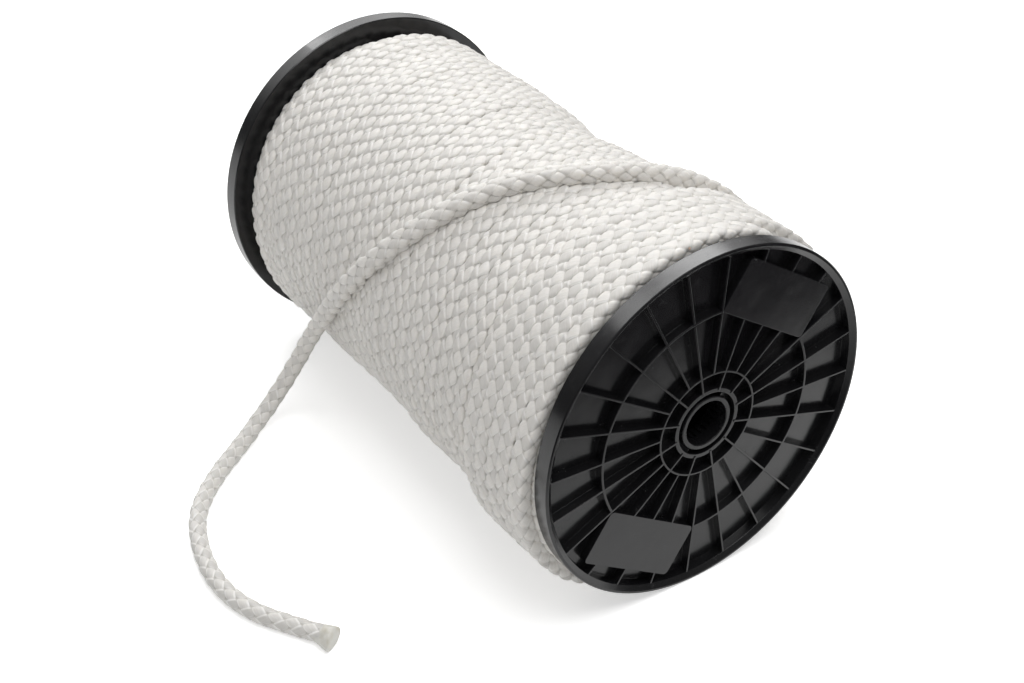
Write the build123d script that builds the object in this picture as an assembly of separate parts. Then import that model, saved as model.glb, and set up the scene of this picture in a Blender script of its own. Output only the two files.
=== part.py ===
"""Plastic supply reel wound with braided rope, lying on its side.

Row frame: millimetres, +Z up, origin at the middle of the spool's axis.
The axis runs along Y. The front flange is at -Y and the rear flange at +Y.
The floor is the plane z = -FLANGE_R. Angles on a flange are counted in its own
face, from its x axis, anticlockwise seen from outside the reel.
"""

from build123d import *
import os
from math import cos, radians, sin, degrees, atan

# ---------------------------------------------------------------- driving sizes
FLANGE_R = 100.0          # outside radius of both flanges
REEL_LENGTH = 332.0       # outside face to outside face
RIM_WIDTH = 10.0          # rim, along the axis
DISC_T = 3.0              # plain disc behind the ribs
RIB_TOP = 8.0             # rib tops, above the disc's inner face
RIM_LIP = 1.0             # flat lip at the rim's outer edge
RIM_INNER_R = 95.8        # rim wall where it meets the rib tops
RIM_ROOT_R = 95.3         # rim wall at the disc
EDGE = 0.5                # broken edges of the rim
FUSE = 0.5                # how far fused shapes reach into each other

RIB_T = 1.0               # radial ribs
RIBS = 24                 # radial ribs
RIB_PITCH = 360 / RIBS    # degrees
RIB_START = 11.6          # degrees, first radial rib
RING_1_R = 29.7           # inner ring rib, over the barrel wall
RING_2_R = 65.3           # outer ring rib
RING_1_T = 1.0
RING_2_T = 1.2

PAD_LENGTH = 65.0         # raised label pad
PAD_WIDTH = 30.0
PAD_RADIUS = 2.5
PAD_ANGLE = RIB_START + 3 * RIB_PITCH
PAD_INNER = 56.5          # axis to the pad's inner long edge
PAD_WALL = 1.5            # thickness of the pad over its hollow back
PAD_CLEAR = 0.2           # how much wider the cut for a pad is than the pad

HUB_R = 18.0              # inside of the hub collar
HUB_WALL = 2.2
HUB_TOP = 7.6
HUB_DEPTH = -6.0          # inner end of the hub collar
WEB_T = 1.6               # short webs from the collar to the spigot
GUIDE_R = 15.35           # bore that the bush turns in
GAP_FLOOR = -1.6          # bottom of the ring gap between collar and bush

RAMP_LOW_ANGLE = 10.0     # degrees, low end of the first locking ramp
RAMP_HIGH_ANGLE = 55.5    # degrees, its stepped high end
RAMP_LOW = 2.4            # top of the ramp at its low end
RAMP_HIGH = 6.1           # top of the ramp at its high end
RAMP_T = 1.2
RAMP_INNER_R = 15.6

BUSH_R = 15.3             # outside of the bush
BORE_R = 12.8             # spindle bore
BUSH_CHAMFER = 0.35
LUG_R = 17.3
LUG_BASE = -1.4
LUG_ANGLES = (14.0, 34.0)
LUG_PLAY = 0.15           # gap between the lug and the ramp above it
GROOVES = 24              # short grooves in the bore's inner end
GROOVE_TOP = 0.3
GROOVE_W = 1.1
GROOVE_R = 13.7

BARREL_R = 31.0
BARREL_WALL = 2.6
SLIP = 0.05               # radial play of plugged and turning parts
SPIGOT_WALL = 2.0
SPIGOT_DEPTH = 14.0
SNAPS = 4                 # snap barbs on each spigot
SNAP_SIZE = (6.0, 3.0)    # barb, round the spigot and along it
SNAP_Z = -10.0
WINDOW_PLAY = 0.6
SNAP_HEIGHT = 1.6

ROPE_R = 4.8              # radius of the rope's stand-in, a little slack
LAYER_GAP = 0.25          # kept between soft solids
PACK_END = 155.4          # rope pack, half its length
INNER_PACK_R = 86.0
PACK_R = 95.3             # outer layer
PACK_SHOULDER_R = 91.0    # last turn of the outer layer at the rear flange
PACK_SHOULDER_Y = 150.0
RAISED_R = 101.5          # extra turns at the front flange
RAISED_LIFT = 2.4         # they are pressed flat where the reel stands on them
RAISED_END_Y = -108.5

ANCHOR_Y = 125.0          # hole in the barrel for the rope's inner end
ANCHOR_HOLE_R = 5.6
TUCK_BEND_R = 6.5         # the inner end turns along the barrel's inside
TUCK_X = 22.5
TUCK_LENGTH = 34.0

# Path of the free strand over the pack: angle from +Z towards -X, and y.
STRAND = [
    (-60, -102.6), (-40, -100.8), (-25, -92), (-10, -77.5), (5, -63),
    (20, -45), (40, -24.5), (60, -2), (80, 24), (100, 53.4),
]
# Free tail, from the pack down to the floor and along it.
HANG = [
    (-97.3, 60.0, -27.0), (-102.4, 66.5, -40), (-106.5, 76, -60),
    (-110.5, 80.5, -71.5), (-115, 83.2, -80), (-119.6, 83.4, -85.4),
]
TAIL_Z = -95.0
LIE = [
    (-125.0, 82.0, -90.0), (-134, 78.5, -93.5), (-147, 70, TAIL_Z), (-168, 55, TAIL_Z),
    (-186, 39.5, TAIL_Z), (-199, 24, TAIL_Z), (-207.5, 5, TAIL_Z), (-213.5, -20, TAIL_Z),
    (-213.5, -45, TAIL_Z), (-207, -66, TAIL_Z), (-197.5, -83, TAIL_Z), (-190, -93, TAIL_Z),
]
SEAL = (-190.4, -92.4)    # where the melted end begins
SEAL_LENGTH = 11.0
SEAL_NECK_R = 4.6
SEAL_END_R = 4.8
SEAL_CLEAR = 1.05         # gap between the last braid and the melted end

INNER_FACE = REEL_LENGTH / 2 - RIM_WIDTH


# ------------------------------------------------------------------ small helpers
def ring(outer, inner):
    return Circle(outer) - Circle(inner)


def on_front(shape):
    """Put a flange-frame shape on the front of the reel, facing -Y."""
    face = Plane(origin=(0, -INNER_FACE, 0), x_dir=(1, 0, 0), z_dir=(0, -1, 0))
    return face.location * shape


def on_rear(shape):
    """Put it on the rear, facing +Y, turned so that both label pads line up."""
    face = Plane(origin=(0, INNER_FACE, 0), x_dir=(-1, 0, 0), z_dir=(0, 1, 0))
    return face.location * Rot(0, 0, 180 - 2 * PAD_ANGLE) * shape


def sector(outer, inner, start, stop, low, high):
    """Part of a ring between two angles, in a flange's frame."""
    reach = 2 * outer
    middle = (start + stop) / 2
    half = (stop - start) / 2
    wedge = Polygon(
        (0, 0),
        (reach * cos(radians(half)), -reach * sin(radians(half))),
        (reach * cos(radians(half)), reach * sin(radians(half))),
        align=None,
    )
    flat = ring(outer, inner) & (Rot(0, 0, middle) * wedge)
    return Pos(0, 0, low) * extrude(flat, high - low)


def ramp_height(angle):
    share = (angle - RAMP_LOW_ANGLE) / (RAMP_HIGH_ANGLE - RAMP_LOW_ANGLE)
    return RAMP_LOW + share * (RAMP_HIGH - RAMP_LOW)


def sloping_slab(drop, thickness):
    """A slab whose top follows the locking ramp, drop below the ramp's top."""
    middle = (RAMP_LOW_ANGLE + RAMP_HIGH_ANGLE) / 2
    mean_r = (RAMP_INNER_R + HUB_R) / 2
    run = mean_r * radians(RAMP_HIGH_ANGLE - RAMP_LOW_ANGLE)
    tilt = degrees(atan((RAMP_HIGH - RAMP_LOW) / run))
    size = 4 * HUB_R
    slab = Box(size, size, thickness, align=(Align.CENTER, Align.CENTER, Align.MAX))
    top = ramp_height(middle) - drop
    return Rot(0, 0, middle) * Pos(0, 0, top) * Rot(tilt, 0, 0) * slab


def twice(shape):
    """The shape and its copy half a turn round the axis."""
    return [shape, Rot(0, 0, 180) * shape]


# ------------------------------------------------------------------------- flange
def disc_and_rim():
    outline = Polyline(
        (0, 0), (FLANGE_R - EDGE, 0), (FLANGE_R, EDGE), (FLANGE_R, RIM_WIDTH - EDGE),
        (FLANGE_R - EDGE, RIM_WIDTH), (FLANGE_R - RIM_LIP - EDGE, RIM_WIDTH),
        (RIM_INNER_R, RIB_TOP), (RIM_ROOT_R, DISC_T), (0, DISC_T), close=True,
    )
    section = Plane.XZ * make_face(outline)
    return revolve(section, axis=Axis.Z)


def radial_rib(angle, start, stop):
    return Rot(0, 0, angle) * Pos((start + stop) / 2, 0) * Rectangle(stop - start, RIB_T)


def rib_outline():
    """All ribs of the outer face, drawn as one flat figure."""
    flat = ring(RING_1_R + RING_1_T / 2, RING_1_R - RING_1_T / 2)
    pad_gap = Sketch() + [
        Rot(0, 0, PAD_ANGLE + half) * Pos(RING_2_R, 0) * Rectangle(PAD_WIDTH, PAD_LENGTH + PAD_CLEAR)
        for half in (0, 180)
    ]
    flat += ring(RING_2_R + RING_2_T / 2, RING_2_R - RING_2_T / 2) - pad_gap
    for step in range(RIBS):
        angle = RIB_START + step * RIB_PITCH
        flat += radial_rib(angle, RING_1_R, RIM_INNER_R + RIB_T)
        if step % 2 == 0:
            flat += radial_rib(angle, HUB_R + HUB_WALL / 2, RING_1_R)
    return flat


def pad_outline(inset):
    size = (PAD_WIDTH - 2 * inset, PAD_LENGTH - 2 * inset)
    pad = Pos(PAD_INNER + PAD_WIDTH / 2, 0) * RectangleRounded(*size, PAD_RADIUS)
    return Sketch() + [Rot(0, 0, PAD_ANGLE + half) * pad for half in (0, 180)]


def hub():
    """Collar, guide ring for the bush and the two locking ramps."""
    depth = HUB_TOP - HUB_DEPTH
    collar = Pos(0, 0, HUB_DEPTH) * extrude(ring(HUB_R + HUB_WALL, HUB_R), depth)
    guide = Pos(0, 0, HUB_DEPTH) * extrude(ring(HUB_R + FUSE, GUIDE_R), GAP_FLOOR - HUB_DEPTH)
    block = sector(
        HUB_R + FUSE, RAMP_INNER_R, RAMP_LOW_ANGLE, RAMP_HIGH_ANGLE, GAP_FLOOR, HUB_TOP
    )
    ramp = block & sloping_slab(0, RAMP_T)
    return collar + guide + twice(ramp)


def spigot():
    """Ring that plugs into the barrel, with snap barbs and short inner webs."""
    outer = BARREL_R - BARREL_WALL - SLIP
    body = Pos(0, 0, -SPIGOT_DEPTH) * extrude(ring(outer, outer - SPIGOT_WALL), SPIGOT_DEPTH + FUSE)
    web_length = outer - HUB_R - HUB_WALL
    web_middle = HUB_R + HUB_WALL + web_length / 2 - FUSE
    web = Pos(web_middle, 0, HUB_DEPTH / 2) * Box(web_length, WEB_T, -HUB_DEPTH)
    barb = Pos(outer, 0, SNAP_Z) * Box(2 * SNAP_HEIGHT, *SNAP_SIZE)
    for step in range(SNAPS):
        turn = Rot(0, 0, step * 360 / SNAPS)
        body += [turn * barb, turn * web]
    return body


def flange():
    body = disc_and_rim()
    raised = Pos(0, 0, DISC_T - FUSE)
    body += raised * extrude(rib_outline(), RIB_TOP - DISC_T + FUSE)
    body += raised * extrude(pad_outline(0), RIB_TOP - DISC_T + FUSE)
    body -= Pos(0, 0, -FUSE) * extrude(pad_outline(PAD_WALL), RIB_TOP - PAD_WALL + FUSE)
    body -= Cylinder(HUB_R + HUB_WALL / 2, 4 * RIM_WIDTH)
    body += spigot()
    return body + hub()


# --------------------------------------------------------------------- hub bushes
def hub_bush():
    """Spindle bush: two lugs lock it under the flange's ramps."""
    length = HUB_TOP - HUB_DEPTH
    tube = extrude(ring(BUSH_R, BORE_R), length)
    tube = chamfer(tube.edges().sort_by(Axis.Z)[-2:], BUSH_CHAMFER)
    body = Pos(0, 0, HUB_DEPTH) * tube
    lug = sector(LUG_R, BUSH_R - FUSE, *LUG_ANGLES, LUG_BASE, HUB_TOP)
    lug = lug & sloping_slab(RAMP_T + LUG_PLAY, 2 * HUB_TOP)
    body += twice(lug)
    depth = GROOVE_TOP - HUB_DEPTH + 1
    groove = Pos(GROOVE_R - 1, 0, GROOVE_TOP - depth / 2) * Box(2, GROOVE_W, depth)
    for step in range(GROOVES):
        body -= Rot(0, 0, step * 360 / GROOVES) * groove
    return body


# ------------------------------------------------------------------------- barrel
def core_barrel():
    """Tube that joins the flanges, with snap windows and the rope's anchor hole."""
    length = 2 * (INNER_FACE - SLIP)
    tube = Cylinder(BARREL_R, length) - Cylinder(BARREL_R - BARREL_WALL, length)
    body = Rot(90, 0, 0) * tube
    around, along = SNAP_SIZE
    window = Pos(BARREL_R, 0, SNAP_Z) * Box(
        4 * BARREL_WALL, around + 2 * WINDOW_PLAY, along + 2 * WINDOW_PLAY
    )
    for step in range(SNAPS):
        turn = Rot(0, 0, step * 360 / SNAPS)
        body -= on_front(turn * window)
        body -= on_rear(turn * window)
    hole = Pos(BARREL_R, ANCHOR_Y, 0) * Rot(0, 90, 0) * Cylinder(ANCHOR_HOLE_R, 4 * BARREL_WALL)
    return body - hole


# --------------------------------------------------------------------------- rope
def round_pack(outline):
    """Solid of revolution about the reel's axis from (radius, y) points."""
    face = make_face(Polyline(*[(r, y) for r, y in outline], close=True))
    return revolve(face, axis=Axis.Y)


def inner_layers():
    inside = BARREL_R + LAYER_GAP
    return round_pack([
        (inside, -PACK_END), (INNER_PACK_R, -PACK_END), (INNER_PACK_R, PACK_END),
        (inside, PACK_END),
    ])


def outer_layer():
    inside = INNER_PACK_R + LAYER_GAP
    slope_start = PACK_SHOULDER_Y - (PACK_R - PACK_SHOULDER_R)
    return round_pack([
        (inside, -PACK_END), (PACK_R, -PACK_END), (PACK_R, slope_start),
        (PACK_SHOULDER_R, PACK_SHOULDER_Y), (PACK_SHOULDER_R, PACK_END), (inside, PACK_END),
    ])


def raised_turns():
    flat = Pos(0, RAISED_LIFT) * Circle(RAISED_R) - Circle(PACK_R + LAYER_GAP)
    face = Plane(origin=(0, -PACK_END, 0), x_dir=(1, 0, 0), z_dir=(0, -1, 0))
    return face.location * extrude(flat, -(RAISED_END_Y + PACK_END))


def rope_along(points):
    """Round rope swept along a smooth line through the points."""
    line = Spline(*points)
    section = Plane(origin=line @ 0, z_dir=line % 0) * Circle(ROPE_R)
    return sweep(section, path=line)


def crossing():
    """Strand that leaves the raised turns and runs across the pack."""
    centre_r = PACK_R + LAYER_GAP + ROPE_R
    points = []
    for angle, y in STRAND:
        points.append((-centre_r * sin(radians(angle)), y, centre_r * cos(radians(angle))))
    return rope_along(points)


def sealed_end():
    """Melted end of the tail, a blunt knob."""
    start_x, start_y = SEAL
    last_x, last_y, _ = LIE[-1]
    before_x, before_y, _ = LIE[-2]
    direction = Vector(last_x - before_x, last_y - before_y, 0).normalized()
    base = Plane(origin=(start_x, start_y, TAIL_Z), z_dir=direction)
    profile = Polyline(
        (0, SEAL_CLEAR), (SEAL_NECK_R, SEAL_CLEAR), (SEAL_END_R, SEAL_LENGTH / 2),
        (SEAL_END_R, SEAL_LENGTH), (0, SEAL_LENGTH), close=True,
    )
    knob = revolve(Plane.XZ * make_face(profile), axis=Axis.Z)
    return base.location * knob


def inner_end():
    """Inner end of the rope: through the barrel wall, then tucked along its inside."""
    start_x = BARREL_R - LAYER_GAP
    bend_x = TUCK_X + TUCK_BEND_R
    inward = Line((start_x, ANCHOR_Y, 0), (bend_x, ANCHOR_Y, 0))
    bend = TangentArc(
        [(bend_x, ANCHOR_Y, 0), (TUCK_X, ANCHOR_Y - TUCK_BEND_R, 0)], tangent=(-1, 0, 0)
    )
    last_y = ANCHOR_Y - TUCK_BEND_R - TUCK_LENGTH
    tuck = Line((TUCK_X, ANCHOR_Y - TUCK_BEND_R, 0), (TUCK_X, last_y, 0))
    line = Wire([inward, bend, tuck])
    section = Plane(origin=(start_x, ANCHOR_Y, 0), z_dir=(-1, 0, 0)) * Circle(ROPE_R)
    return sweep(section, path=line)


# ------------------------------------------------------------------------- output
def main():
    moulding = flange()
    bush = hub_bush()
    nodes = {
        "front_flange": on_front(moulding),
        "rear_flange": on_rear(moulding),
        "front_hub_bush": on_front(bush),
        "rear_hub_bush": on_rear(bush),
        "core_barrel": core_barrel(),
        "rope_inner_end": inner_end(),
        "rope_inner_layers": inner_layers(),
        "rope_outer_layer": outer_layer(),
        "rope_raised_turns": raised_turns(),
        "rope_crossing_strand": crossing(),
        "rope_hanging_tail": rope_along(HANG),
        "rope_floor_tail": rope_along(LIE),
        "rope_sealed_end": sealed_end(),
    }
    os.makedirs("parts", exist_ok=True)
    for name, shape in nodes.items():
        export_step(shape, f"parts/{name}.step")


main()
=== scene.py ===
"""Looks for the rope reel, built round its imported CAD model.

Metres throughout, in the reel's own frame: the spool lies along Y with its front
flange at -Y, +Z is up, and the free end of the rope lies on the floor at -X.
The rope is one braid of eight strands. Its relief is real geometry, worked out from
the strands' paths. Its material follows the same paths, without their unevenness.
"""

import math

import bpy
import numpy as np
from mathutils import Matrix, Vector


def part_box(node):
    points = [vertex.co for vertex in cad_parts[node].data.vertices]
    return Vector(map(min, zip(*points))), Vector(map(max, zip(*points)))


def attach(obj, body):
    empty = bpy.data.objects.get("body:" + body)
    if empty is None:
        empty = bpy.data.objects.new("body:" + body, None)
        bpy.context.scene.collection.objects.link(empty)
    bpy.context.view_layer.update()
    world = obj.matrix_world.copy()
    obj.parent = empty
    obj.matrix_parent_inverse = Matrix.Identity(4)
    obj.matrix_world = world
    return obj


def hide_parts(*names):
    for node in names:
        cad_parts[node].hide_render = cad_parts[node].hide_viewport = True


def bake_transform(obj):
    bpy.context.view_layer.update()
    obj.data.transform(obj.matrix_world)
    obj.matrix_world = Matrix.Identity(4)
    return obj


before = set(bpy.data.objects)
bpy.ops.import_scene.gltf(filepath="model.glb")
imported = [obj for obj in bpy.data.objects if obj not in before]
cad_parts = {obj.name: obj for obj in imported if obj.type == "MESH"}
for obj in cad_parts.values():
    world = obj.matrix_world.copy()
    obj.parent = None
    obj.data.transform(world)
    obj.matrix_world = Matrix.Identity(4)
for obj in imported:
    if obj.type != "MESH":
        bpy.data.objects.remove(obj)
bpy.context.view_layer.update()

MM = 0.001

# ------------------------------------------------------------------- rope sizes
ROPE_R = 5.0 * MM               # outside radius over the strands' crowns
STITCH = 10.0 * MM              # one crown to the next along a column
STRAND_LIFT = 0.80 * MM         # how far a strand rises and dips as it weaves
STRAND_CROWN = 1.50 * MM        # height of a strand's rounded top
STRAND_HALF = 0.58              # half a strand's width, in quarter turns
STRAND_SQUARE = 2.5             # 2 for a round strand, more for a flatter one
LEFT_SLANT = 0.35 * MM          # a stitch lies like a shingle, higher on one side
RIGHT_SLANT = 0.95 * MM
UNEVEN = 0.07                   # how much the stitches differ in height
UNEVEN_PACE = (2.9, 0.75 * math.pi)     # radians by half stitch and by eighth of a turn
TILTED = 0.28                   # and in tilt across the strand
TILTED_PACE = (4.7, 0.25 * math.pi)
PIT_FLOOR = 1.20 * MM           # the hole between four strands is filled up to here
FREE_DEPTH = 0.62               # relief of the free rope, which nothing presses
RAISED_DEPTH = 0.78             # and of the raised turns, which are pulled tight
PRESSED_SQUARE = 6.0            # STRAND_SQUARE for the whole rope, where turns press
PRESSED_WIDE = 1.10             # how much wider it gets there
TURN_PITCH = 9.6 * MM           # one turn of the pack to the next
STITCHES_PER_TURN = 56.64
CAP_U = 0.5                     # quarter turns to the place that a cut end's look is from
PACK_STEP = 0.64 * MM           # mesh step along the wound rope
FREE_STEP = 0.6 * MM            # mesh step along the free rope

# ------------------------------------------------------------------ frame sizes
FLOOR_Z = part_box("front_flange")[0].z
PACK_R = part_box("rope_outer_layer")[1].x
PACK_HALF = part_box("rope_outer_layer")[1].y
INNER_PACK_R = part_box("rope_inner_layers")[1].x
INNER_PACK_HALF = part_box("rope_inner_layers")[1].y
RAISED_START_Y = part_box("rope_raised_turns")[0].y
BARREL_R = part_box("core_barrel")[1].x
CAD_ROPE_R = (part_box("rope_inner_end")[1].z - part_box("rope_inner_end")[0].z) / 2


# ---------------------------------------------------------------------- helpers
def smooth(x, start, stop):
    """0 before start, 1 after stop, and a smooth step between."""
    t = np.clip((x - start) / (stop - start), 0, 1)
    return t * t * (3 - 2 * t)


def wander(x, waves, seed):
    """A smooth random curve of about unit height, from sines of these wavelengths."""
    rng = np.random.default_rng(seed)
    total = np.zeros_like(x)
    for wave in waves:
        total += np.sin(2 * math.pi * x / wave + rng.uniform(0, 2 * math.pi))
    return total / math.sqrt(len(waves))


def unit(v):
    return v / np.linalg.norm(v, axis=-1, keepdims=True)


def arc_length(points):
    steps = np.linalg.norm(np.diff(points, axis=0), axis=1)
    return np.concatenate([[0], np.cumsum(steps)])


def nearest(line, point):
    """The number of the line's point nearest to another point."""
    return int(np.argmin(np.linalg.norm(line - np.array(point), axis=1)))


def resample(points, step):
    """The same line with evenly spaced points."""
    s = arc_length(points)
    at = np.linspace(0, s[-1], max(4, int(round(s[-1] / step)) + 1))
    return np.stack([np.interp(at, s, points[:, k]) for k in range(3)], 1)


def relax(points, rounds):
    """Rounds off a line's corners; its ends stay."""
    for _ in range(rounds):
        points[1:-1] = (points[:-2] + 2 * points[1:-1] + points[2:]) / 4
    return points


def transported(tangent, first):
    """A frame direction carried along a line without twisting."""
    out = np.empty_like(tangent)
    now = first
    for n, t in enumerate(tangent):
        now = now - t * (now @ t)
        now = now / np.linalg.norm(now)
        out[n] = now
    return out


def on_reel(angle, radius, y):
    """Points round the spool. Angles go from +Z towards -X, where the free end lies."""
    return np.stack([-radius * np.sin(angle), y, radius * np.cos(angle)], -1)


def outward_at(angle):
    """Directions straight out from the spool's axis at these angles."""
    return np.stack([-np.sin(angle), np.zeros_like(angle), np.cos(angle)], -1)


def new_piece(name, verts, quads, tris=None, uvs=None):
    """A smooth-shaded mesh object. uvs has one pair for each corner, quads first."""
    tris = np.zeros((0, 3), int) if tris is None else tris
    corners = np.concatenate([quads.ravel(), tris.ravel()]).astype(np.int32)
    starts = np.concatenate([
        4 * np.arange(len(quads)), 4 * len(quads) + 3 * np.arange(len(tris)),
    ]).astype(np.int32)
    mesh = bpy.data.meshes.new(name)
    mesh.vertices.add(len(verts))
    mesh.vertices.foreach_set("co", verts.astype(np.float32).ravel())
    mesh.loops.add(len(corners))
    mesh.loops.foreach_set("vertex_index", corners)
    mesh.polygons.add(len(starts))
    mesh.polygons.foreach_set("loop_start", starts)
    mesh.update(calc_edges=True)
    if uvs is not None:
        layer = mesh.uv_layers.new(name="braid")
        layer.data.foreach_set("uv", uvs.astype(np.float32).ravel())
    mesh.polygons.foreach_set("use_smooth", [True] * len(starts))
    piece = bpy.data.objects.new(name, mesh)
    bpy.context.scene.collection.objects.link(piece)
    return piece


# ---------------------------------------------------------------- braid relief
def stitch_change(crossing, middle, sign, pace):
    """A wave over the stitches that closes round the rope, so that no two are quite alike."""
    return np.sin(pace[0] * (crossing - middle) * sign + pace[1] * (crossing + middle))


def strand_height(across, along, sign):
    """Height of one family of strands: it weaves over and under the other one."""
    middle = np.round(across)
    crossing = np.round(along)
    side = np.clip(np.abs(across - middle) / STRAND_HALF, 0, 1)
    crown = (1 - side ** STRAND_SQUARE) ** (1 / STRAND_SQUARE)
    wave = np.cos(math.pi * (along - middle))
    wave = wave * (1.5 - 0.5 * wave * wave)     # flatter at the top and the bottom
    uneven = stitch_change(crossing, middle, sign, UNEVEN_PACE)
    tilted = stitch_change(crossing, middle, sign, TILTED_PACE)
    crown = crown + UNEVEN * uneven + TILTED * tilted * (across - middle)
    slant = LEFT_SLANT if sign > 0 else RIGHT_SLANT
    return sign * STRAND_LIFT * wave + STRAND_CROWN * crown - slant * (across - middle)


def braid_radius(u, v, depth):
    """Rope surface radius. u is the angle in quarter turns, v the length in stitches."""
    left, right = u - v, u + v
    relief = np.maximum(strand_height(left, right, 1), strand_height(right, left, -1))
    relief = np.maximum(relief, PIT_FLOOR)
    return ROPE_R - depth * (STRAND_LIFT + STRAND_CROWN - relief)


def pressed_section(angles, pressed):
    """Radius and width factors of a rope's section; pressed is 0 for round, 1 for flat."""
    power = 2 + (PRESSED_SQUARE - 2) * pressed[:, None]
    factor = np.abs(np.cos(angles)) ** power + np.abs(np.sin(angles)) ** power
    return factor ** (-1 / power), 1 + (PRESSED_WIDE - 1) * pressed[:, None]


# ------------------------------------------------------------------------- tubes
def tube_faces(rings, around):
    """Quads of an open tube, as an array of corner numbers."""
    i = np.arange(rings - 1)[:, None] * around
    j = np.arange(around)[None, :]
    k = (j + 1) % around
    quads = np.stack([i + j, i + k, i + around + k, i + around + j], -1)
    return quads.reshape(-1, 4)


def tube_uvs(angles, twist, v):
    """Corner coordinates for a tube's quads: quarter turns round it, stitches along it."""
    shape = (len(v) - 1, len(angles))
    width = np.append(angles, angles[0] + 2 * math.pi) / (math.pi / 2)
    ring_u = width[None, :] + twist[:, None]
    lower, upper = ring_u[:-1], ring_u[1:]
    low_v = np.broadcast_to(v[:-1, None], shape)
    high_v = np.broadcast_to(v[1:, None], shape)
    corner_u = np.stack([lower[:, :-1], lower[:, 1:], upper[:, 1:], upper[:, :-1]], -1)
    corner_v = np.stack([low_v, low_v, high_v, high_v], -1)
    return np.stack([corner_u, corner_v], -1).reshape(-1, 2)


def cap_faces(rings, around):
    """Fans that close a tube. Their two rings and two middles follow the tube's vertices."""
    start_ring = rings * around
    end_ring = start_ring + around
    start_middle = end_ring + around
    j = np.arange(around)
    k = (j + 1) % around
    start_cap = np.stack([np.full(around, start_middle), start_ring + k, start_ring + j], 1)
    end_cap = np.stack([np.full(around, start_middle + 1), end_ring + j, end_ring + k], 1)
    return np.concatenate([start_cap, end_cap])


def cap_uvs(around, v):
    """All corners of a cap take one place on the braid, level with its end."""
    uvs = np.zeros((6 * around, 2)) + [[CAP_U, v[0]]]
    uvs[3 * around:, 1] = v[-1]
    return uvs


def braided_rope(name, centres, outward, v, twist, angles, pressed, depth=None, shape=None):
    """A closed length of braid round a centre line.

    outward is each point's own zero angle, v its place in stitches, twist its turn in
    quarter turns, pressed how far its section is squared, depth the share of the full
    relief. shape moves vertices.
    """
    tangent = unit(np.gradient(centres, axis=0))
    outward = unit(outward - tangent * np.sum(outward * tangent, 1, keepdims=True))
    sideways = np.cross(tangent, outward)
    u = angles[None, :] / (math.pi / 2) + twist[:, None]
    factor, wide = pressed_section(angles, pressed)
    depth = np.ones(len(v)) if depth is None else depth
    radius = braid_radius(u, np.broadcast_to(v[:, None], u.shape), depth[:, None]) * factor
    out_part = (radius * np.cos(angles))[..., None] * outward[:, None]
    side_part = (radius * np.sin(angles) * wide)[..., None] * sideways[:, None]
    verts = centres[:, None] + out_part + side_part
    rings, around = u.shape
    caps = [verts[0], verts[-1], centres[[0, -1]]]
    verts = np.concatenate([verts.reshape(-1, 3)] + caps)
    if shape is not None:
        verts = shape(verts)
    uvs = np.concatenate([tube_uvs(angles, twist, v), cap_uvs(around, v)])
    return new_piece(name, verts, tube_faces(rings, around), cap_faces(rings, around), uvs)


# Corners of a rope's section, from straight out. The side that faces into the pack
# has few. The raised turns are also seen from beyond the flange.
WOUND_ANGLES = np.radians(np.append(np.linspace(-60, 60, 24), [88, 130, 180, 230, 272]))
RAISED_ANGLES = np.radians(np.append(np.linspace(-110, 60, 32), [90, 130, 180, 220]))
ROUND_ANGLES = np.linspace(0, 2 * math.pi, 64, endpoint=False)


# --------------------------------------------------------------- the settled pack
SAG_ANGLE = math.radians(118)   # loose turns hang out most here, low on each side
SAG_SPREAD = math.radians(64)   # and not at all this far from there
SAG_REAR = 1.4 * MM             # by this much near the rear flange
SAG_FRONT = 5.0 * MM            # and by this much near the front one
SAG_FROM_Y = 0.015              # it starts to grow here, towards the front flange
SAG_FULL_Y = -0.045             # and is full here
FAR_SAG = 0.6                   # its share on the side away from the free end
WAIST = 5.0 * MM                # that side is also tighter, beside the strand
WAIST_Y = 0.006                 # there the waist is deepest
WAIST_SPREAD = 0.030
WAIST_FULL = 0.6                # radians from the top to where it's full
HOLD = 8 * MM                   # rope this far under the outer layer doesn't move
PRESS_Z = 0.092                 # below this depth turns are pressed by the floor
PRESS_ROOM = 0.0076             # and squeeze into this height


def settle(verts):
    """Loose turns hang a little low at the sides and are pressed flat on the floor."""
    x, y, z = verts.T
    r = np.hypot(x, z)
    angle = np.arctan2(-x, z)
    free = smooth(r, INNER_PACK_R - HOLD, PACK_R)
    near = np.clip((np.abs(angle) - SAG_ANGLE) / SAG_SPREAD, -1, 1)
    swell = np.cos(near * math.pi / 2) ** 2
    swell = swell * np.where(angle > 0, 1.0, FAR_SAG)
    sag = SAG_REAR + (SAG_FRONT - SAG_REAR) * smooth(-y, -SAG_FROM_Y, -SAG_FULL_Y)
    scale = (r + sag * swell * free) / r
    out = np.stack([x * scale, y, z * scale], 1)
    waist = WAIST * np.exp(-((y - WAIST_Y) / WAIST_SPREAD) ** 2)
    waist *= smooth(-angle, 0, WAIST_FULL) * free
    out[:, ::2] *= (1 - waist / r)[:, None]
    deep = np.maximum(-out[:, 2] - PRESS_Z, 0)
    out[:, 2] += deep - PRESS_ROOM * (1 - np.exp(-deep / PRESS_ROOM))
    return out


# ------------------------------------------------------------------ outer layer
WOUND_PIECES = 9                # keeps each piece's mesh small
TURN_OVERLAP = 0.2 * MM         # the end turns press into the flanges' walls
EDGE_DROP = 7.5 * MM            # the last turn at the rear flange lies lower
EDGE_FROM = 15 * MM             # and the turns this far from it start to
EDGE_TO = 2 * MM                # the drop would be full this far past its last turn
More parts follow.
